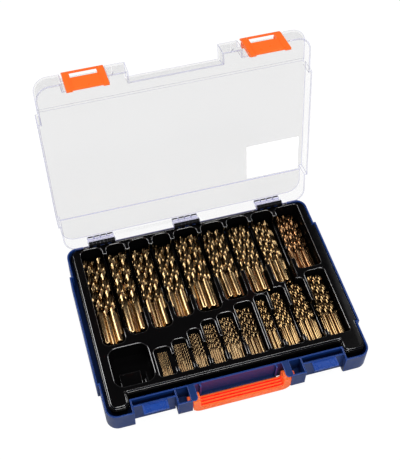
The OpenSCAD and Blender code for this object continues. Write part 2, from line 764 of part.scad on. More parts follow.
base_shell();
tray_insert();
carry_handle();
lid_shell();
lid_label();
latch(-bay_mid);  // latch_left
latch(bay_mid);  // latch_right
hinge_leaf(-hinge_x);  // hinge_leaf_left
hinge_leaf(0);  // hinge_leaf_centre
hinge_leaf(hinge_x);  // hinge_leaf_right
hinge_foot(-hinge_x);  // hinge_foot_left
hinge_foot(0);  // hinge_foot_centre
hinge_foot(hinge_x);  // hinge_foot_right
hinge_pin(-hinge_x);  // hinge_pin_left
hinge_pin(0);  // hinge_pin_centre
hinge_pin(hinge_x);  // hinge_pin_right
drill_set(0);  // drills_10_0
drill_set(1);  // drills_9_5
drill_set(2);  // drills_9_0
drill_set(3);  // drills_8_5
drill_set(4);  // drills_8_0
drill_set(5);  // drills_7_5
drill_set(6);  // drills_7_0
drill_set(7);  // drills_6_5
drill_set(8);  // drills_6_0
drill_set(9);  // drills_1_0
drill_set(10);  // drills_1_5
drill_set(11);  // drills_2_0
drill_set(12);  // drills_2_5
drill_set(13);  // drills_3_0
drill_set(14);  // drills_3_5
drill_set(15);  // drills_4_0
drill_set(16);  // drills_4_5
drill_set(17);  // drills_5_0
drill_set(18);  // drills_5_5
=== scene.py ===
"""Looks of the open drill bit case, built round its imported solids.

Metres, in the frame of the solids: X is the width, the front looks to -Y, and the origin is the
centre of the underside. The lid is open at rest.
"""
import json
import math

import bmesh
import bpy
import numpy as np
from mathutils import Matrix, Vector


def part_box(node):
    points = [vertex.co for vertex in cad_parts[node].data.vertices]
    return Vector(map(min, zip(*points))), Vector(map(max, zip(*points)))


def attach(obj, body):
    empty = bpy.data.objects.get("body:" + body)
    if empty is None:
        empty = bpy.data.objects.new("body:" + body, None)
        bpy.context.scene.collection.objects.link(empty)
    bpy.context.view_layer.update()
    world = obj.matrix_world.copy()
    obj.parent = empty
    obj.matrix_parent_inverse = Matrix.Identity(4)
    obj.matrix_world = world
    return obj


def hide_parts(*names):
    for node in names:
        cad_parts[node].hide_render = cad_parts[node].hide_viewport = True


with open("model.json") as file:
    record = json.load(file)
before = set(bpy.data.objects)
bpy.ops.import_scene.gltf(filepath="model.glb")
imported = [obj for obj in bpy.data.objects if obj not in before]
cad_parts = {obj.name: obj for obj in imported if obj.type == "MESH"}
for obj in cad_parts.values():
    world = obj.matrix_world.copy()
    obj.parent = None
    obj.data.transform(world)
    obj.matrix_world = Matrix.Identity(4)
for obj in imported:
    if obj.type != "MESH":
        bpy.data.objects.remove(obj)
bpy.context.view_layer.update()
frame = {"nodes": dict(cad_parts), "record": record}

MM = 0.001
DRILL_NODES = sorted(n for n in frame["nodes"] if n.startswith("drills_"))


# ---------------------------------------------------------------- small helpers

def box_of(node):
    """Lowest and highest corner of a solid, as two vectors."""
    low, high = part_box(node)
    return Vector(low), Vector(high)


def new_object(name, mesh):
    """An object at the origin, linked to the scene."""
    obj = bpy.data.objects.new(name, mesh)
    bpy.context.scene.collection.objects.link(obj)
    return obj


def mesh_of(bm, name):
    """Turns a bmesh into a mesh and frees it."""
    mesh = bpy.data.meshes.new(name)
    bm.to_mesh(mesh)
    bm.free()
    return mesh


def lid_hinge():
    """The lid's joint as the record gives it."""
    joints = frame["record"]["behaviour"]["joints"]
    return next(joint for joint in joints if joint["name"] == "lid_hinge")


def lid_turn():
    """How far the lid is drawn open, in radians."""
    return math.radians(lid_hinge()["range_deg"][1])


# ---------------------------------------------------------------- shader building

def shader_group(name, inputs, outputs):
    """An empty node group with the named sockets, its tree, and its two end nodes."""
    group = bpy.data.node_groups.new(name, "ShaderNodeTree")
    for label, kind, value in inputs:
        socket = group.interface.new_socket(label, in_out="INPUT", socket_type=kind)
        if value is not None:
            socket.default_value = value
    for label, kind in outputs:
        group.interface.new_socket(label, in_out="OUTPUT", socket_type=kind)
    return group, group.nodes.new("NodeGroupInput"), group.nodes.new("NodeGroupOutput")


def noise(tree, coordinates, scale, detail=3.0):
    """A noise texture over the given coordinates. scale is a value or a socket."""
    node = tree.nodes.new("ShaderNodeTexNoise")
    node.inputs["Detail"].default_value = detail
    tree.links.new(coordinates, node.inputs["Vector"])
    if isinstance(scale, bpy.types.NodeSocket):
        tree.links.new(scale, node.inputs["Scale"])
    else:
        node.inputs["Scale"].default_value = scale
    return node.outputs["Fac"]


def spread(tree, value, low, high):
    """Maps the middle of a noise, 0.3 to 0.7, onto low to high, which may be sockets."""
    node = tree.nodes.new("ShaderNodeMapRange")
    node.inputs["From Min"].default_value = 0.3
    node.inputs["From Max"].default_value = 0.7
    for label, end in (("To Min", low), ("To Max", high)):
        if isinstance(end, bpy.types.NodeSocket):
            tree.links.new(end, node.inputs[label])
        else:
            node.inputs[label].default_value = end
    tree.links.new(value, node.inputs["Value"])
    return node.outputs["Result"]


def arithmetic(tree, operation, first, second=0.0):
    """A math node of two values or sockets."""
    node = tree.nodes.new("ShaderNodeMath")
    node.operation = operation
    for end, given in zip(node.inputs, (first, second)):
        if isinstance(given, bpy.types.NodeSocket):
            tree.links.new(given, end)
        else:
            end.default_value = given
    return node.outputs[0]


def two_tones(tree, mask, plain, marked):
    """A colour socket: marked where the mask is 1, plain elsewhere."""
    tone = tree.nodes.new("ShaderNodeMix")
    tone.data_type = "RGBA"
    tone.inputs["A"].default_value = (*plain, 1.0)
    tone.inputs["B"].default_value = (*marked, 1.0)
    tree.links.new(mask, tone.inputs["Factor"])
    return tone.outputs["Result"]


def moulded_finish_group():
    """Colour drift, gloss patches and fine grain of a moulded plastic."""
    group, given, out = shader_group(
        "moulded finish",
        [("Colour", "NodeSocketColor", None), ("Drift", "NodeSocketFloat", 0.06),
         ("Smooth", "NodeSocketFloat", 0.25), ("Rough", "NodeSocketFloat", 0.35),
         ("Grain Scale", "NodeSocketFloat", 1500.0)],
        [("Colour", "NodeSocketColor"), ("Roughness", "NodeSocketFloat"),
         ("Height", "NodeSocketFloat")])
    where = group.nodes.new("ShaderNodeTexCoord").outputs["Object"]
    patches = noise(group, where, 35.0)
    drift = group.nodes.new("ShaderNodeMath")
    drift.operation = "MULTIPLY_ADD"
    group.links.new(spread(group, patches, -1.0, 1.0), drift.inputs[0])
    group.links.new(given.outputs["Drift"], drift.inputs[1])
    drift.inputs[2].default_value = 1.0
    tone = group.nodes.new("ShaderNodeHueSaturation")
    group.links.new(drift.outputs[0], tone.inputs["Value"])
    group.links.new(given.outputs["Colour"], tone.inputs["Color"])
    group.links.new(tone.outputs["Color"], out.inputs["Colour"])
    worn = noise(group, where, 140.0, 5.0)
    group.links.new(spread(group, worn, given.outputs["Smooth"], given.outputs["Rough"]),
                    out.inputs["Roughness"])
    group.links.new(noise(group, where, given.outputs["Grain Scale"], 2.0), out.inputs["Height"])
    return group


MOULDED = moulded_finish_group()


# ---------------------------------------------------------------- materials

def shader_of(material):
    """The Principled BSDF of a material."""
    return material.node_tree.nodes["Principled BSDF"]


def new_material(name):
    """A material, its tree and its shader."""
    material = bpy.data.materials.new(name)
    material.use_nodes = True
    return material, material.node_tree, shader_of(material)


def finish_of(material):
    """The group node that gives a moulded plastic its finish."""
    return next(node for node in material.node_tree.nodes if node.type == "GROUP")


def moulded_plastic(name, colour, drift, smooth, rough, grain_scale, grain_mm, coat=0.0):
    """A moulded plastic: its colour and how far that drifts, its gloss from smooth to rough, the
    scale and the depth of its grain, and a clear coat.
    """
    material, tree, shader = new_material(name)
    finish = tree.nodes.new("ShaderNodeGroup")
    finish.node_tree = MOULDED
    finish.inputs["Colour"].default_value = (*colour, 1.0)
    finish.inputs["Drift"].default_value = drift
    finish.inputs["Smooth"].default_value = smooth
    finish.inputs["Rough"].default_value = rough
    finish.inputs["Grain Scale"].default_value = grain_scale
    tree.links.new(finish.outputs["Colour"], shader.inputs["Base Color"])
    tree.links.new(finish.outputs["Roughness"], shader.inputs["Roughness"])
    bump = tree.nodes.new("ShaderNodeBump")
    bump.inputs["Distance"].default_value = grain_mm * MM
    bump.inputs["Strength"].default_value = 0.5
    tree.links.new(finish.outputs["Height"], bump.inputs["Height"])
    tree.links.new(bump.outputs["Normal"], shader.inputs["Normal"])
    shader.inputs["Coat Weight"].default_value = coat
    return material


def clear_plastic(name, colour, thin, thick):
    """The lid's clear plastic: thin where it is looked through, thicker towards grazing view."""
    material, tree, shader = new_material(name)
    finish = tree.nodes.new("ShaderNodeGroup")
    finish.node_tree = MOULDED
    finish.inputs["Colour"].default_value = (*colour, 1.0)
    finish.inputs["Drift"].default_value = 0.02
    finish.inputs["Smooth"].default_value = 0.05
    finish.inputs["Rough"].default_value = 0.14
    tree.links.new(finish.outputs["Colour"], shader.inputs["Base Color"])
    tree.links.new(finish.outputs["Roughness"], shader.inputs["Roughness"])
    shader.inputs["Specular IOR Level"].default_value = 0.6
    layer = tree.nodes.new("ShaderNodeLayerWeight")
    layer.inputs["Blend"].default_value = 0.35
    veil = tree.nodes.new("ShaderNodeMapRange")
    veil.inputs["To Min"].default_value = thin
    veil.inputs["To Max"].default_value = thick
    tree.links.new(layer.outputs["Facing"], veil.inputs["Value"])
    tree.links.new(veil.outputs["Result"], shader.inputs["Alpha"])
    return material


def drill_metal(name, colour, dark):
    """Bronze-tinted ground steel: straw-coloured, with darker heat tints, fine grinding lines and
    painted shade deep in the gullets.
    """
    material, tree, shader = new_material(name)
    where = tree.nodes.new("ShaderNodeTexCoord").outputs["Object"]
    ramp = tree.nodes.new("ShaderNodeValToRGB")
    ramp.color_ramp.elements[0].position = 0.34
    ramp.color_ramp.elements[0].color = (*dark, 1.0)
    ramp.color_ramp.elements[1].position = 0.60
    ramp.color_ramp.elements[1].color = (*colour, 1.0)
    along = tree.nodes.new("ShaderNodeMapping")
    along.inputs["Scale"].default_value = (1.0, 0.2, 1.0)
    tree.links.new(where, along.inputs["Vector"])
    tree.links.new(noise(tree, along.outputs["Vector"], 160.0, 2.0), ramp.inputs["Fac"])
    # Painted shade: the base colour darkens to near black with the depth of a gullet.
    gullet = tree.nodes.new("ShaderNodeAttribute")
    gullet.attribute_name = "gullet"
    painted_gullet_shade = tree.nodes.new("ShaderNodeMix")
    painted_gullet_shade.data_type = "RGBA"
    tree.links.new(gullet.outputs["Fac"], painted_gullet_shade.inputs["Factor"])
    tree.links.new(ramp.outputs["Color"], painted_gullet_shade.inputs["A"])
    painted_gullet_shade.inputs["B"].default_value = (*(0.16 * c for c in dark), 1.0)
    tree.links.new(painted_gullet_shade.outputs["Result"], shader.inputs["Base Color"])
    stretch = tree.nodes.new("ShaderNodeMapping")
    stretch.inputs["Scale"].default_value = (1.0, 9.0, 1.0)
    tree.links.new(where, stretch.inputs["Vector"])
    lines = noise(tree, stretch.outputs["Vector"], 900.0, 2.0)
    tree.links.new(spread(tree, lines, 0.16, 0.27), shader.inputs["Roughness"])
    bump = tree.nodes.new("ShaderNodeBump")
    bump.inputs["Distance"].default_value = 0.008 * MM
    bump.inputs["Strength"].default_value = 0.3
    tree.links.new(lines, bump.inputs["Height"])
    tree.links.new(bump.outputs["Normal"], shader.inputs["Normal"])
    shader.inputs["Metallic"].default_value = 1.0
    return material


def pin_steel():
    """Drawn wire of the hinge pins."""
    material, tree, shader = new_material("pin steel")
    where = tree.nodes.new("ShaderNodeTexCoord").outputs["Object"]
    stretch = tree.nodes.new("ShaderNodeMapping")
    stretch.inputs["Scale"].default_value = (0.05, 1.0, 1.0)
    tree.links.new(where, stretch.inputs["Vector"])
    tree.links.new(spread(tree, noise(tree, stretch.outputs["Vector"], 2500.0), 0.22, 0.4),
                   shader.inputs["Roughness"])
    shader.inputs["Base Color"].default_value = (0.62, 0.63, 0.65, 1.0)
    shader.inputs["Metallic"].default_value = 1.0
    return material


GRIP_H = 10 * MM            # height of the handle's grip
ARM_INSIDE = 52.5 * MM      # from the middle to the inside of the handle's arms
GROOVE_DEEP = 6.7 * MM
GROOVE_END = 11 * MM        # from the top of the arms down to where the grooves begin


def groove_mask(tree):
    """1 in the grooves that run round the inside of the handle, 0 elsewhere: where the red glow is
    painted.
    """
    low, high = box_of("carry_handle")
    where = tree.nodes.new("ShaderNodeSeparateXYZ")
    tree.links.new(tree.nodes.new("ShaderNodeTexCoord").outputs["Object"], where.inputs[0])
    from_middle = arithmetic(tree, "ABSOLUTE", where.outputs["X"])
    below = arithmetic(tree, "SUBTRACT", low.z + GRIP_H, where.outputs["Z"])
    beside = arithmetic(tree, "SUBTRACT", from_middle, ARM_INSIDE)
    depth = arithmetic(tree, "MAXIMUM", below, beside)
    from_centre = arithmetic(tree, "SUBTRACT", where.outputs["Y"], (low.y + high.y) / 2)
    off_centre = arithmetic(tree, "ABSOLUTE", from_centre)
    mask = arithmetic(tree, "GREATER_THAN", depth, 0.5 * MM)
    for value, most in ((depth, GROOVE_DEEP), (off_centre, (high.y - low.y) / 2 - 0.3 * MM),
                        (where.outputs["Z"], high.z - GROOVE_END)):
        mask = arithmetic(tree, "MULTIPLY", mask, arithmetic(tree, "LESS_THAN", value, most))
    return mask


def orange_with_painted_glow(name, colour, painted_groove_red):
    """Orange plastic with painted light: a glow, and a deeper red in the narrow grooves, stand in
    for light that enters the plastic and makes the grooves glow red.
    """
    material = moulded_plastic(name, colour, 0.03, 0.24, 0.34, 1800, 0.02)
    tree, shader = material.node_tree, shader_of(material)
    mask = groove_mask(tree)
    tree.links.new(two_tones(tree, mask, colour, painted_groove_red), finish_of(material).inputs["Colour"])
    # Painted light: a faint orange-red glow on the ridges and a strong red one in the grooves.
    tree.links.new(two_tones(tree, mask, (0.26, 0.020, 0.005), (0.55, 0.010, 0.008)),
                   shader.inputs["Emission Color"])
    shader.inputs["Specular IOR Level"].default_value = 0.3
    shader.inputs["Subsurface Weight"].default_value = 0.35
    shader.inputs["Subsurface Radius"].default_value = (1.0, 0.10, 0.03)
    shader.inputs["Subsurface Scale"].default_value = 3.5 * MM
    shader.inputs["Emission Strength"].default_value = 1.0
    return material


LEAF_LOW = 3.4 * MM         # from the hinge axis up to the leaf's plate, the lid taken as shut
TABS_LOW = 11.5 * MM        # up to the plate's tabs, a band painted black as shadow
LEAF_INSIDE = 1.45 * MM     # and outward to the plate's inner face


def hinge_leaf_finish():
    """Lilac-grey leaf plate, black below it at the knuckles and above it at the tabs, told apart
    by their place in the shut lid. The black at the tabs is painted shadow, and the plate glows a
    little: painted light.
    """
    grey, black = (0.80, 0.80, 0.86), (0.004, 0.004, 0.005)
    material = moulded_plastic("hinge grey", grey, 0.05, 0.3, 0.45, 1500, 0.03)
    tree, shader = material.node_tree, shader_of(material)
    axis, turn = Vector(lid_hinge()["pos_m"]), lid_turn()
    outward, upward = (0.0, math.cos(turn), -math.sin(turn)), (0.0, math.sin(turn), math.cos(turn))
    where = tree.nodes.new("ShaderNodeTexCoord").outputs["Object"]

    def beyond(direction, least):
        """1 where a point lies further than least from the hinge axis along a direction."""
        dot = tree.nodes.new("ShaderNodeVectorMath")
        dot.operation = "DOT_PRODUCT"
        dot.inputs[1].default_value = direction
        tree.links.new(where, dot.inputs[0])
        return arithmetic(tree, "GREATER_THAN", dot.outputs["Value"],
                          least + Vector(direction).dot(axis))

    inside = arithmetic(tree, "SUBTRACT", 1.0, beyond(outward, LEAF_INSIDE))
    # The band at the tabs is painted black: shadow of the dark slots there.
    tabs = arithmetic(tree, "MULTIPLY", beyond(upward, TABS_LOW), inside)
    plate = arithmetic(tree, "MULTIPLY", beyond(upward, LEAF_LOW),
                       arithmetic(tree, "SUBTRACT", 1.0, tabs))
    tone = two_tones(tree, plate, black, grey)
    tree.links.new(tone, finish_of(material).inputs["Colour"])
    # Painted light: the leaf glows a little in its own tone, lifting the grey plate.
    tree.links.new(tone, shader.inputs["Emission Color"])
    shader.inputs["Emission Strength"].default_value = 0.35
    return material


def with_specular(material, level):
    """Sets how strongly a plastic mirrors."""
    shader_of(material).inputs["Specular IOR Level"].default_value = level
    return material


def with_painted_backlight(material, colour, strength):
    """Painted light: a glow of the given colour stands in for the lit clear wall behind the label
    and the latches, which shines through them a little.
    """
    shader = shader_of(material)
    shader.inputs["Emission Color"].default_value = (*colour, 1.0)
    shader.inputs["Emission Strength"].default_value = strength
    return material


MATERIALS = {
    "blue_plastic": with_specular(
        moulded_plastic("blue plastic", (0.009, 0.040, 0.185), 0.05, 0.28, 0.40, 1800, 0.03), 0.4),
    "black_tray": with_specular(
        moulded_plastic("black tray", (0.0035, 0.0033, 0.0036), 0.10, 0.14, 0.24, 500, 0.01), 0.07),
    "orange_plastic": with_painted_backlight(with_specular(
        moulded_plastic("orange plastic", (0.90, 0.155, 0.020), 0.03, 0.26, 0.36, 1800, 0.02), 0.3),
        (1.0, 0.15, 0.02), 0.38),
    "label_paper": with_painted_backlight(
        moulded_plastic("label paper", (0.95, 0.95, 0.96), 0.01, 0.45, 0.6, 4000, 0.01),
        (1.0, 1.0, 1.0), 0.60),
    "hinge_black": with_specular(
        moulded_plastic("hinge black", (0.006, 0.006, 0.008), 0.08, 0.3, 0.45, 1500, 0.03), 0.15),
    "hinge_grey": with_specular(hinge_leaf_finish(), 0.15),
    "clear_plastic": clear_plastic("clear plastic", (0.27, 0.27, 0.285), 0.125, 0.11),
    "drill_bronze": drill_metal("drill bronze", (0.66, 0.46, 0.23), (0.48, 0.315, 0.15)),
    "pin_steel": pin_steel(),
}
# Darker copies of the same bronze for the front row's thinner drills: painted shade.
SHADED_SLENDER_BRONZE = drill_metal("slender drill bronze", (0.50, 0.335, 0.155), (0.34, 0.21, 0.095))
SHADED_FINE_BRONZE = drill_metal("fine drill bronze", (0.42, 0.29, 0.15), (0.28, 0.175, 0.085))
COPPER = drill_metal("drill copper", (0.68, 0.39, 0.19), (0.50, 0.27, 0.12))
HANDLE_ORANGE = orange_with_painted_glow("handle orange", (1.0, 0.21, 0.045), (0.60, 0.012, 0.010))
# Painted highlight: a brighter blue for the base's rounded edges and the catches' plates.
BLUE_EDGE_HIGHLIGHT = moulded_plastic("blue edge", (0.014, 0.078, 0.42), 0.05, 0.24, 0.36, 1800, 0.02)
TRAY_RIM = with_specular(
    moulded_plastic("tray rim", (0.010, 0.0095, 0.0095), 0.10, 0.16, 0.28, 500, 0.01, 1.0), 1.0)
shader_of(TRAY_RIM).inputs["Coat IOR"].default_value = 1.9
LID_EDGE = clear_plastic("lid edge", (0.45, 0.45, 0.85), 0.40, 0.55)
# Painted light: a lighter grey veil for the lid's side walls.
LID_WALL_PAINTED_LIGHT = clear_plastic("lid wall", (0.60, 0.60, 0.64), 0.07, 0.05)


def dress_solids():
    """Gives every solid the material of its slot in the record."""
    for part in frame["record"]["subparts"]:
        obj = frame["nodes"][part["node"]]
        obj.data.materials.clear()
        obj.data.materials.append(MATERIALS[part["material_slot"]])


# ---------------------------------------------------------------- moulded edges

SHARP = math.radians(40)    # bend from which an edge of a solid counts as sharp


def is_outer_edge(edge):
    """True for a sharp outward edge of a solid."""
    return len(edge.link_faces) == 2 and edge.is_convex and edge.calc_face_angle(0.0) > SHARP


def is_tray_rim(edge):
    """Outward edges of the tray that look up: not those under the sheet."""
    return is_outer_edge(edge) and all(face.normal.z > -0.05 for face in edge.link_faces)


def rounded_copy(node, radius, chosen, steps):
    """Mesh of a solid with its chosen edges rounded, and how much its surface grew by that."""
    bm = bmesh.new()
    bm.from_mesh(frame["nodes"][node].data)
    area = sum(face.calc_area() for face in bm.faces)
    bmesh.ops.remove_doubles(bm, verts=bm.verts, dist=1e-6)
    bmesh.ops.dissolve_limit(bm, angle_limit=math.radians(0.5), verts=bm.verts, edges=bm.edges)
    bm.normal_update()
    edges = [edge for edge in bm.edges if chosen(edge)]
    made = bmesh.ops.bevel(bm, geom=edges, offset=radius, offset_type="OFFSET", segments=steps,
                           profile=0.5, affect="EDGES", clamp_overlap=False, loop_slide=False,
                           material=1)
    rounded = set(made["faces"])
    for face in bm.faces:
        face.smooth = True
        face.material_index = 1 if face in rounded else 0
    for edge in bm.edges:
        inside = len({face.material_index for face in edge.link_faces}) == 1
        edge.smooth = inside and edge.calc_face_angle(0.0) < math.radians(32)
    bmesh.ops.triangulate(bm, faces=bm.faces)
    growth = sum(face.calc_area() for face in bm.faces) / area
    return mesh_of(bm, "moulded_" + node), growth


def soften(node, body, slot, radius, chosen, edge_finish_and_highlight, steps):
    """Replaces a solid by a copy whose chosen edges are rounded, as moulded edges are.

    Rounding takes surface away. A copy that gained some has folded faces, so a smaller radius
    is tried, and past the last one the solid stays.
    """
    for share in (1.0, 0.7, 0.45, 0.25):
        mesh, growth = rounded_copy(node, radius * share, chosen, steps)
        print(node, "rounded by", round(radius * share / MM, 2), "mm, surface", round(growth, 4))
        if growth < 1.002:
            break
        bpy.data.meshes.remove(mesh)
    else:
        return None
    piece = new_object("moulded_" + node, mesh)
    mesh.materials.append(MATERIALS[slot])
    # The rounded faces take a material of their own: the base's brighter blue there is a painted
    # highlight.
    mesh.materials.append(edge_finish_and_highlight)
    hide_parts(node)
    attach(piece, body)
    return piece


CATCH_X = (90.5 * MM, 122.5 * MM)       # the catches' plates, on either side of the middle
CATCH_REAR = -115 * MM
CATCH_Z = (29.0 * MM, 33.4 * MM)


def paint_highlight_on_catches(base):
    """The catches' thin plates stand out in the light: their faces take the brighter edge blue, a
    painted highlight.
    """
    for face in base.data.polygons:
        x, y, z = face.center
        if CATCH_X[0] < abs(x) < CATCH_X[1] and y < CATCH_REAR and CATCH_Z[0] < z < CATCH_Z[1]:
            face.material_index = 1


def clear_the_walls(lid):
    """The lid's side walls are looked at edge on, through both faces, so their veil is thinner;
    their lighter grey is painted light.
    """
    panel = Vector((0.0, math.sin(lid_turn()), math.cos(lid_turn())))
    lid.data.materials.append(LID_WALL_PAINTED_LIGHT)
    for face in lid.data.polygons:
        if face.material_index == 0 and abs(face.normal.dot(panel)) < 0.5:
            face.material_index = 2


def soften_mouldings():
    """Rounds the edges of the tray, the base and the lid, and gives the rounded edges a material
    of their own. The base's brighter blue edges and catch plates are painted highlight, and the
    lid's lighter side walls painted light.
    """
    soften("tray_insert", "base", "black_tray", 1.2 * MM, is_tray_rim, TRAY_RIM, 3)
    base = soften("base_shell", "base", "blue_plastic", 0.5 * MM, is_outer_edge, BLUE_EDGE_HIGHLIGHT, 2)
    if base is not None:
        paint_highlight_on_catches(base)
    lid = soften("lid_shell", "lid", "clear_plastic", 0.75 * MM, is_outer_edge, LID_EDGE, 2)
    if lid is not None:
        clear_the_walls(lid)


# ---------------------------------------------------------------- the tray's border

TRAY_TOP = 31.5 * MM        # height of the tray's top sheet
STEP_OUT, STEP_DOWN = 1.3 * MM, 2.0 * MM    # width and height of a step
STEP_ROUNDING = (1.0 * MM, 0.35 * MM, 0.35 * MM)    # of each step's edge, from the top
SHINING = (1, 2, 5, 6)      # strips of the section that are the rounding of the two upper steps
COVER = 0.04 * MM           # how far the border lies over the sheet
LIP = 1.6 * MM              # how far it reaches in over the sheet
LIP_END = 156 * MM          # how far to the right the lip ever lies
WALL_IN = 163.5 * MM        # inner face of the base's side walls
WALL_GAP = 0.35 * MM        # between the border and those walls
REAR_END = 123.2 * MM       # how far to the rear the border reaches
SWELL = (-75.5 * MM, 81.0 * MM, 3.0 * MM)   # from, to and depth of the wider stretch inside


def arc(x, y, r, first, last, steps=6):
    """Points of an arc in plan, angles in degrees."""
    turns = [math.radians(first + (last - first) * k / steps) for k in range(steps + 1)]
    return [(x + r * math.cos(t), y + r * math.sin(t)) for t in turns]


def border_path():
    """Outline of the tray in plan, from its rear left corner round the front to its rear right.

    In millimetres until the last line. The front has a lobe at either end.
    """
    left, right, rear, front = -157.5, 163.0, 123.1, -94.0
    lobe_front, lobe_left, lobe_right = -112.0, left + 20.0, -left - 20.0
    corner, outer, inner, neck = 8, 7, 6, 5         # radii of the plan's corners
    path = arc(left + corner, rear - corner, corner, 90, 180)
    path += arc(left + outer, lobe_front + outer, outer, 180, 270)
    path += arc(lobe_left - inner, lobe_front + inner, inner, 270, 360)
    path += arc(lobe_left + neck, front - neck, neck, 180, 90)
    path += arc(lobe_right - neck, front - neck, neck, 90, 0)
    path += arc(lobe_right + inner, lobe_front + inner, inner, 180, 270)
    path += arc(right - outer, lobe_front + outer, outer, -90, 0)
    low, high, out = (v / MM for v in SWELL)
    path += [(right, low + 1), (right + out, low + 2), (right + out, high - 2), (right, high - 1)]
    path += arc(right - corner, rear - corner, corner, 0, 90)
    return [Vector((x * MM, y * MM)) for x, y in path]


def border_profile():
    """(out, up) of the border's section: the lip, then steps going down, each edge rounded."""
    points = [(-LIP, COVER)]
    out, up = 0.0, COVER
    for r in STEP_ROUNDING:
        points += [(out - r, up), (out - 0.3 * r, up - 0.3 * r), (out, up - r)]
        up -= STEP_DOWN
        points.append((out, up))
        out += STEP_OUT
    foot = up - 2 * STEP_DOWN
    points[-1] = (points[-1][0], foot)
    return points + [(-LIP, foot)]


def held_in(x, y, z):
    """A point kept inside the base's walls."""
    limit = WALL_IN - WALL_GAP + (SWELL[2] if SWELL[0] < y < SWELL[1] else 0.0)
    return (max(-limit, min(limit, x)), min(y, REAR_END), z)


def add_to_tray(bm, name):
    """Makes a piece of the tray from a bmesh whose second material is the shining edge."""
    mesh = mesh_of(bm, name)
    mesh.materials.append(MATERIALS["black_tray"])
    mesh.materials.append(TRAY_RIM)
    piece = new_object(name, mesh)
    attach(piece, "base")


def tray_border():
    """Stepped edge round the tray, which reaches the base's right wall."""
    path, profile = border_path(), border_profile()
    bm = bmesh.new()
    rings = []
    for k, here in enumerate(path):
        before, after = path[max(k - 1, 0)], path[min(k + 1, len(path) - 1)]
        way = (after - before).normalized()
        side = Vector((way.y, -way.x))
        ring = []
        for n, (out, up) in enumerate(profile):
            spot = here + side * out
            if n in (0, len(profile) - 1):
                spot.x = min(spot.x, LIP_END)
            ring.append(bm.verts.new(held_in(spot.x, spot.y, TRAY_TOP + up)))
        rings.append(ring)
    for near, far in zip(rings, rings[1:]):
        for n in range(len(profile)):
            m = (n + 1) % len(profile)
            face = bm.faces.new((near[n], far[n], far[m], near[m]))
            face.material_index = 1 if n in SHINING else 0
            face.smooth = True
    bm.faces.new(rings[0])
    bm.faces.new(rings[-1][::-1])
    bmesh.ops.recalc_face_normals(bm, faces=bm.faces)
    for edge in bm.edges:
        edge.smooth = edge.calc_face_angle(0.0) < math.radians(40)
    add_to_tray(bm, "tray_border")


# ---------------------------------------------------------------- blocks in the compartment

# left, right and rear side of each block, in millimetres, and the material of its rounding
BLOCKS = ((-138.4, -111.0, -60.5, 1), (-105.5, -98.5, -63.0, 0))
BLOCKS_FRONT = -87.5
BLOCKS_FOOT, BLOCKS_TOP = 3.8, 12.6
BLOCKS_ROUNDING = 1.2 * MM


def rounded_block(bm, low, high, radius, finish):
    """Adds a box between two corners, its upright and upper edges rounded in a given material."""
    corners = set(bmesh.ops.create_cube(bm, size=1.0)["verts"])
    for vert in corners:
        vert.co = Vector([low[i] + (vert.co[i] + 0.5) * (high[i] - low[i]) for i in range(3)])
    edges = [edge for edge in bm.edges if edge.verts[0] in corners
             and max(vert.co.z for vert in edge.verts) > low[2] + 1e-6]
    bmesh.ops.bevel(bm, geom=edges, offset=radius, offset_type="OFFSET", segments=3,
                    profile=0.5, affect="EDGES", clamp_overlap=False, material=finish)


def compartment_steps():
    """The two low blocks on the square compartment's floor, as high as the photo shows them."""
    bm = bmesh.new()
    for left, right, rear, finish in BLOCKS:
        low = [v * MM for v in (left, BLOCKS_FRONT, BLOCKS_FOOT)]
        high = [v * MM for v in (right, rear, BLOCKS_TOP)]
        rounded_block(bm, low, high, BLOCKS_ROUNDING, finish)
    for face in bm.faces:
        face.smooth = True
    bmesh.ops.recalc_face_normals(bm, faces=bm.faces)
    add_to_tray(bm, "compartment_steps")


# ---------------------------------------------------------------- twist drills

HELIX = math.radians(30)        # helix angle of the flutes
WEB = 0.30                      # half the web over the drill's radius
POINT = math.radians(59)        # half the point angle
LAND = 0.40                     # share of a half turn that is land
MARGIN = 0.07                   # share that is the ground margin, which stands a little proud
BODY = 0.96                     # radius of the land behind the margin over the drill's
FLUTE_SHARE = 0.62              # length of the flutes over the drill's length
CHAMFER = 0.12                  # length of the shank's chamfer over the diameter
SHANK_END = 0.8                 # radius of the shank's flat end over the drill's
FLUTES_END = 0.31               # last ring of the flutes, and those of the point, from the tip
POINT_RINGS = (0.30, 0.2, 0.1, 0.03)        # over the diameter
DARKEST_PAINTED_SHADE = 0.35                  # depth over the radius from which the gullets' painted shade is darkest
ROUND = 28                      # vertices round a drill
RINGS_PER_TURN = 22


def flute_radius(turn):
    """Radius of a two-flute section over the drill's, at an angle: two lands and two round gullets."""
    u = (turn / math.pi) % 1.0              # 0 to 1 over one land and its gullet
    if u < LAND:
        return 1.0 if u < MARGIN else BODY
    s = (u - LAND) / (1.0 - LAND)
    return BODY - (BODY - WEB) * math.sin(math.pi * s ** 0.85) ** 0.75


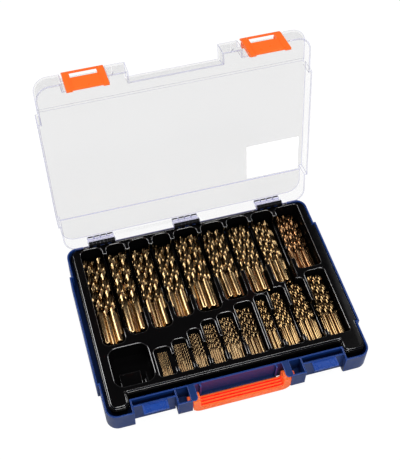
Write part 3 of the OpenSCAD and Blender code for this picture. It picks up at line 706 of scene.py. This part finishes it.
def twist_drill(name, d, length):
    """Mesh of one drill along +Y, its shank end at the origin."""
    r = d / 2
    lead = math.pi * d / math.tan(HELIX)
    flute_from = length * (1 - FLUTE_SHARE)
    chamfer = CHAMFER * d
    step = lead / RINGS_PER_TURN
    ys = [0.0, chamfer, flute_from - d]
    ys += list(np.arange(flute_from - d + step, length - FLUTES_END * d, step))
    ys += [length - h * d for h in POINT_RINGS]
    section = [flute_radius(2 * math.pi * (k + 0.5) / ROUND) for k in range(ROUND)]
    bm = bmesh.new()
    depth = bm.verts.layers.float.new("gullet")
    rings = []
    for y in ys:
        fade = min(max((y - flute_from + d) / d, 0.0), 1.0)
        limit = min((length - y) * math.tan(POINT), r)
        if y < chamfer:
            limit = SHANK_END * r
        twist = 2 * math.pi * max(y - flute_from + d, 0.0) / lead
        ring = []
        for k, share in enumerate(section):
            radius = min(r * (1 - fade * (1 - share)), limit)
            angle = twist + 2 * math.pi * k / ROUND
            vert = bm.verts.new((radius * math.cos(angle), y, -radius * math.sin(angle)))
            # Painted shade: how deep the vertex lies in a gullet, which darkens its colour.
            vert[depth] = fade * min((BODY - share) / DARKEST_PAINTED_SHADE, 1.0) if share < BODY else 0.0
            ring.append(vert)
        rings.append(ring)
    for low, high in zip(rings, rings[1:]):
        for k in range(ROUND):
            n = (k + 1) % ROUND
            bm.faces.new((low[k], low[n], high[n], high[k]))
    bm.faces.new(rings[0][::-1])
    bm.faces.new(rings[-1])
    bmesh.ops.recalc_face_normals(bm, faces=bm.faces)
    for face in bm.faces:
        face.smooth = len(face.verts) == 4
    for edge in bm.edges:
        edge.smooth = edge.calc_face_angle(0.0) < math.radians(38)
    return mesh_of(bm, name)


def drills_in(node):
    """(x, z, first y, last y) of each drill in a solid, found from its separate shells."""
    bm = bmesh.new()
    bm.from_mesh(frame["nodes"][node].data)
    bmesh.ops.remove_doubles(bm, verts=bm.verts, dist=1e-6)
    found, seen = [], set()
    for start in bm.verts:
        if start in seen:
            continue
        shell, todo = [], [start]
        seen.add(start)
        while todo:
            vert = todo.pop()
            shell.append(vert.co.copy())
            for edge in vert.link_edges:
                other = edge.other_vert(vert)
                if other not in seen:
                    seen.add(other)
                    todo.append(other)
        low = [min(c[i] for c in shell) for i in range(3)]
        high = [max(c[i] for c in shell) for i in range(3)]
        found.append(((low[0] + high[0]) / 2, (low[2] + high[2]) / 2, low[1], high[1]))
    bm.free()
    return sorted(found)


def laying_tree():
    """Geometry nodes that lay one drill on each point, each turned about its own axis."""
    tree = bpy.data.node_groups.new("lay drills", "GeometryNodeTree")
    for label, kind in (("Points", "NodeSocketGeometry"), ("Drill", "NodeSocketObject"),
                        ("Seed", "NodeSocketInt"), ("Finish", "NodeSocketMaterial")):
        tree.interface.new_socket(label, in_out="INPUT", socket_type=kind)
    tree.interface.new_socket("Geometry", in_out="OUTPUT", socket_type="NodeSocketGeometry")
    given, out = tree.nodes.new("NodeGroupInput"), tree.nodes.new("NodeGroupOutput")
    shape = tree.nodes.new("GeometryNodeObjectInfo")
    turn = tree.nodes.new("FunctionNodeRandomValue")
    turn.data_type = "FLOAT"
    turn.inputs[3].default_value = 2 * math.pi
    axis = tree.nodes.new("ShaderNodeCombineXYZ")
    lay = tree.nodes.new("GeometryNodeInstanceOnPoints")
    real = tree.nodes.new("GeometryNodeRealizeInstances")
    finish = tree.nodes.new("GeometryNodeSetMaterial")
    link = tree.links.new
    link(given.outputs["Drill"], shape.inputs["Object"])
    link(given.outputs["Seed"], turn.inputs["Seed"])
    link(turn.outputs[1], axis.inputs["Y"])
    link(given.outputs["Points"], lay.inputs["Points"])
    link(shape.outputs["Geometry"], lay.inputs["Instance"])
    link(axis.outputs["Vector"], lay.inputs["Rotation"])
    link(lay.outputs["Instances"], real.inputs["Geometry"])
    link(real.outputs["Geometry"], finish.inputs["Geometry"])
    link(given.outputs["Finish"], finish.inputs["Material"])
    link(finish.outputs["Geometry"], out.inputs["Geometry"])
    return tree


LAYING = laying_tree()


def diameter(node):
    """Diameter in millimetres of the drills in a node, from its name."""
    return float(node.split("_", 1)[1].replace("_", "."))


def drill_finish(node):
    """The 6 mm drills in the photo are redder than the others. The front row gets darker copies of
    the same bronze: painted shade.
    """
    if diameter(node) == 6.0:
        return COPPER
    if diameter(node) > 6.0:
        return MATERIALS["drill_bronze"]
    return SHADED_SLENDER_BRONZE if diameter(node) > 3.9 else SHADED_FINE_BRONZE


def lay_drills(node, material, seed):
    """Replaces a solid of plain drills by fluted ones in the same places."""
    places = drills_in(node)
    length = places[0][3] - places[0][2]
    pattern = new_object("pattern", twist_drill("pattern", diameter(node) * MM, length))
    points = bpy.data.meshes.new("points")
    points.from_pydata([(x, y, z) for x, z, y, _ in places], [], [])
    layer = new_object("layer", points)
    modifier = layer.modifiers.new("lay", "NODES")
    modifier.node_group = LAYING
    ids = {s.name: s.identifier for s in LAYING.interface.items_tree if s.in_out == "INPUT"}
    modifier[ids["Drill"]] = pattern
    modifier[ids["Seed"]] = seed
    modifier[ids["Finish"]] = material
    seen = layer.evaluated_get(bpy.context.evaluated_depsgraph_get())
    mesh = bpy.data.meshes.new_from_object(seen)
    mesh.name = "fluted_" + node
    piece = new_object("fluted_" + node, mesh)
    for spare in (layer, pattern):
        bpy.data.objects.remove(spare)
    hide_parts(node)
    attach(piece, "base")


# ---------------------------------------------------------------- stage

PICTURE = (400.0, 460.0)            # width and height of the picture in pixels
FOCAL = 920.2                       # focal length in those pixels
CENTRE = (190.8, 263.5)             # where the lens looks, in the picture
AZIMUTH, ELEVATION, ROLL = -16.1, 55.7, 0.53
DISTANCE = 1.1992
TARGET = Vector((-0.0118, 0.0619, 0.0335))
FLOOR_REACH, FLOOR_DROP = 4.0, 0.0004


def place_camera():
    """The camera of the photo, solved from the corners of the case's rim."""
    az, el, roll = (math.radians(v) for v in (AZIMUTH, ELEVATION, ROLL))
    back = Vector((math.sin(az) * math.cos(el), -math.cos(az) * math.cos(el), math.sin(el)))
    right = (-back).cross(Vector((0, 0, 1))).normalized()
    up = right.cross(-back)
    right, up = (right * math.cos(roll) + up * math.sin(roll),
                 up * math.cos(roll) - right * math.sin(roll))
    data = bpy.data.cameras.new("camera")
    data.sensor_width = 36.0
    data.lens = FOCAL * data.sensor_width / PICTURE[1]
    data.shift_x = (PICTURE[0] / 2 - CENTRE[0]) / PICTURE[1]
    data.shift_y = (CENTRE[1] - PICTURE[1] / 2) / PICTURE[1]
    camera = new_object("camera", data)
    turn = Matrix((right, up, back)).transposed().to_4x4()
    camera.matrix_world = Matrix.Translation(TARGET + back * DISTANCE) @ turn
    bpy.context.scene.camera = camera


def seen_white(tree, lit, white):
    """Mixes a lit shader with a white one for what the camera sees, also through clear parts."""
    ray = tree.nodes.new("ShaderNodeLightPath").outputs
    either = arithmetic(tree, "MAXIMUM", ray["Is Camera Ray"], ray["Is Transmission Ray"])
    mix = tree.nodes.new("ShaderNodeMixShader")
    tree.links.new(either, mix.inputs["Fac"])
    tree.links.new(lit, mix.inputs[1])
    tree.links.new(white, mix.inputs[2])
    return mix.outputs["Shader"]


def make_floor():
    """A white floor that shows a faint shadow."""
    mesh = bpy.data.meshes.new("floor")
    corners = [(x * FLOOR_REACH, y * FLOOR_REACH, 0) for x, y in ((-1, -1), (1, -1), (1, 1), (-1, 1))]
    mesh.from_pydata(corners, [], [(0, 1, 2, 3)])
    floor = new_object("floor", mesh)
    floor.location.z = -FLOOR_DROP
    material, tree, shader = new_material("pale floor")
    shader.inputs["Base Color"].default_value = (0.85, 0.85, 0.85, 1.0)
    shader.inputs["Roughness"].default_value = 0.9
    shader.inputs["Specular IOR Level"].default_value = 0.0
    glow = tree.nodes.new("ShaderNodeEmission")
    glow.inputs["Strength"].default_value = 0.95
    shade = tree.nodes.new("ShaderNodeBsdfDiffuse")
    shade.inputs["Color"].default_value = (0.12, 0.12, 0.12, 1.0)
    bright = tree.nodes.new("ShaderNodeAddShader")
    tree.links.new(shade.outputs["BSDF"], bright.inputs[0])
    tree.links.new(glow.outputs["Emission"], bright.inputs[1])
    tree.links.new(seen_white(tree, shader.outputs["BSDF"], bright.outputs["Shader"]),
                   tree.nodes["Material Output"].inputs["Surface"])
    floor.data.materials.append(material)


def light_world():
    """A weak even light, seen as white."""
    world = bpy.data.worlds.new("studio")
    bpy.context.scene.world = world
    world.use_nodes = True
    tree = world.node_tree
    lit = tree.nodes["Background"]
    lit.inputs["Color"].default_value = (0.95, 0.97, 1.0, 1.0)
    lit.inputs["Strength"].default_value = 0.09
    white = tree.nodes.new("ShaderNodeBackground")
    white.inputs["Color"].default_value = (1.0, 1.0, 1.0, 1.0)
    tree.links.new(seen_white(tree, lit.outputs["Background"], white.outputs["Background"]),
                   tree.nodes["World Output"].inputs["Surface"])


def soft_box(name, place, look_at, size, power):
    """A rectangular lamp turned towards a point."""
    data = bpy.data.lights.new(name, "AREA")
    data.shape = "RECTANGLE"
    data.size, data.size_y = size
    data.energy = power
    lamp = new_object(name, data)
    lamp.location = place
    lamp.rotation_euler = (Vector(look_at) - Vector(place)).to_track_quat("-Z", "Y").to_euler()


def make_stage():
    """Floor, world and lamps.

    The two side lamps draw the light lines along the drills, and the front line those on the
    tray's front edge. No lamp stands where the tray's flat top would mirror it, so it stays black.
    """
    make_floor()
    light_world()
    soft_box("left", (-1.15, 0.75, 1.1), (0, 0.1, 0), (0.5, 1.5), 11)
    soft_box("right", (1.25, 0.75, 1.1), (0, 0.1, 0), (0.38, 1.5), 7)
    soft_box("front line", (0.5, -1.55, 1.15), (0, -0.1, 0.03), (0.7, 0.1), 2.5)
    soft_box("front", (0.1, -1.5, 1.15), (0, 0.1, 0.05), (1.3, 0.7), 10)
    soft_box("top", (0, -0.4, 1.7), (0, 0, 0), (0.8, 0.5), 6)
    bpy.context.scene.view_settings.view_transform = "Standard"


# ---------------------------------------------------------------- assembly

def build():
    """Dresses the solids, adds what they lack and sets the stage."""
    dress_solids()
    frame["nodes"]["carry_handle"].data.materials[0] = HANDLE_ORANGE
    soften_mouldings()
    tray_border()
    compartment_steps()
    for seed, node in enumerate(DRILL_NODES):
        lay_drills(node, drill_finish(node), seed)
    make_stage()
    place_camera()


build()
